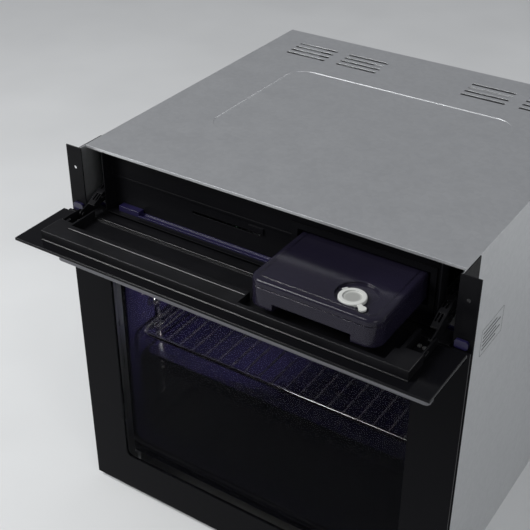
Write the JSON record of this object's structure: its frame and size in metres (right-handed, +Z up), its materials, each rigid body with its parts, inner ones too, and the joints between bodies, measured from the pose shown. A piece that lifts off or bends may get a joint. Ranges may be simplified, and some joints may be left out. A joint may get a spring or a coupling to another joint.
{
  "type": "built-in steam oven",
  "caption": "Built-in steam oven with a control panel that drops down flat, a removable water tank behind it and a bottom-hinged glass door.",
  "frame": {"origin": "centre of the base plate's underside", "axes": "+X to the right seen from the front, +Y into the oven, +Z up"},
  "size_m": [0.595, 0.652, 0.59],
  "materials": {
    "galvanised": "satin",
    "black_steel": "satin",
    "enamel": "gloss",
    "chrome_wire": "polished",
    "stainless": "brushed",
    "aluminium": "satin",
    "handle_metal": "brushed",
    "black_glass": "gloss",
    "clear_glass": "gloss",
    "black_plastic": "satin",
    "dark_liner": "matte",
    "smoke_plastic": "gloss",
    "grey_silicone": "matte",
    "seal_rubber": "matte",
    "mineral_wool": "matte",
    "violet_plastic": "satin",
    "circuit_green": "satin",
    "grey_plastic": "satin",
    "screw_steel": "satin"
  },
  "bodies": {
    "chassis": {"air_duct": "galvanised", "arm_tracks": "black_steel", "base_plate": "galvanised", "bay_floor": "galvanised", "blower_housing": "galvanised", "case_screws": "screw_steel", "cavity": "enamel", "cavity_front_plate": "enamel", "cavity_supports": "galvanised", "compartment_liner": "dark_liner", "door_seal": "seal_rubber", "drip_gutter": "violet_plastic", "fan_baffle": "enamel", "fan_motor": "galvanised", "front_crossmember": "galvanised", "grill_element": "stainless", "hinge_housings": "stainless", "insulation_blanket": "mineral_wool", "lamp_glass": "clear_glass", "left_side_panel": "galvanised", "lower_heater": "stainless", "mains_gland": "black_plastic", "mounting_flanges": "black_steel", "panel_drive_motor": "black_plastic", "panel_stops": "violet_plastic", "power_board": "circuit_green", "rear_panel": "galvanised", "right_side_panel": "galvanised", "ring_heater": "stainless", "shelf_racks": "chrome_wire", "steam_generator": "aluminium", "steam_nozzle": "stainless", "tank_dock": "grey_plastic", "tank_housing": "dark_liner", "top_cover": "galvanised", "universal_pan": "enamel", "water_hoses": "grey_silicone", "water_pump": "grey_plastic", "wire_shelf": "chrome_wire"},
    "panel_arms": {"pivot_arms": "black_steel"},
    "fascia": {"panel_glass": "black_glass", "panel_carrier": "black_plastic", "display_module": "circuit_green", "panel_brackets": "black_steel", "bracket_screws": "screw_steel"},
    "carriage": {"tank_carriage": "dark_liner"},
    "tank": {"tank_body": "smoke_plastic", "tank_lid": "smoke_plastic"},
    "cap": {"filler_cap": "grey_silicone"},
    "door": {"door_outer_glass": "black_glass", "door_middle_glass": "clear_glass", "door_inner_glass": "clear_glass", "door_profiles": "aluminium", "door_top_trim": "black_plastic", "door_bottom_trim": "black_plastic", "door_handle": "handle_metal", "handle_posts": "handle_metal", "hinge_arms": "stainless"},
    "fan": {"convection_fan": "stainless"},
    "blower": {"blower_wheel": "aluminium"}
  },
  "joints": [
    {"name": "arm_slide", "type": "slide", "parent": "chassis", "child": "panel_arms", "axis": [0, 1, 0], "range_m": [0, 0.0251]},
    {"name": "panel_tilt", "type": "hinge", "parent": "panel_arms", "child": "fascia", "pos_m": [0, -0.295, 0.507], "axis": [-1, 0, 0], "range_deg": [0, 90]},
    {"name": "tank_carriage_slide", "type": "slide", "parent": "chassis", "child": "carriage", "axis": [0, 1, 0], "range_m": [0, 0.158]},
    {"name": "tank_pull", "type": "slide", "parent": "carriage", "child": "tank", "axis": [0, 1, 0], "range_m": [-0.26, 0]},
    {"name": "filler_cap_hinge", "type": "hinge", "parent": "tank", "child": "cap", "pos_m": [0.15662, -0.31753, 0.5534], "axis": [0.5736, 0.8192, 0], "range_deg": [-115, 0]},
    {"name": "door_hinge", "type": "hinge", "parent": "chassis", "child": "door", "pos_m": [0, -0.262, 0.028], "axis": [1, 0, 0], "range_deg": [0, 90], "stiffness_Nm_per_rad": 6, "springref_deg": -34.38},
    {"name": "convection_fan_spin", "type": "hinge", "parent": "chassis", "child": "fan", "pos_m": [0, 0.16, 0.255], "axis": [0, 1, 0], "continuous": true},
    {"name": "blower_spin", "type": "hinge", "parent": "chassis", "child": "blower", "pos_m": [0, 0.105, 0.542], "axis": [1, 0, 0], "continuous": true}
  ],
  "couplings": [
    {"joint": "arm_slide", "follows": "panel_tilt", "m_per_rad": 0.0159},
    {"joint": "tank_carriage_slide", "follows": "panel_tilt", "m_per_rad": 0.1}
  ]
}
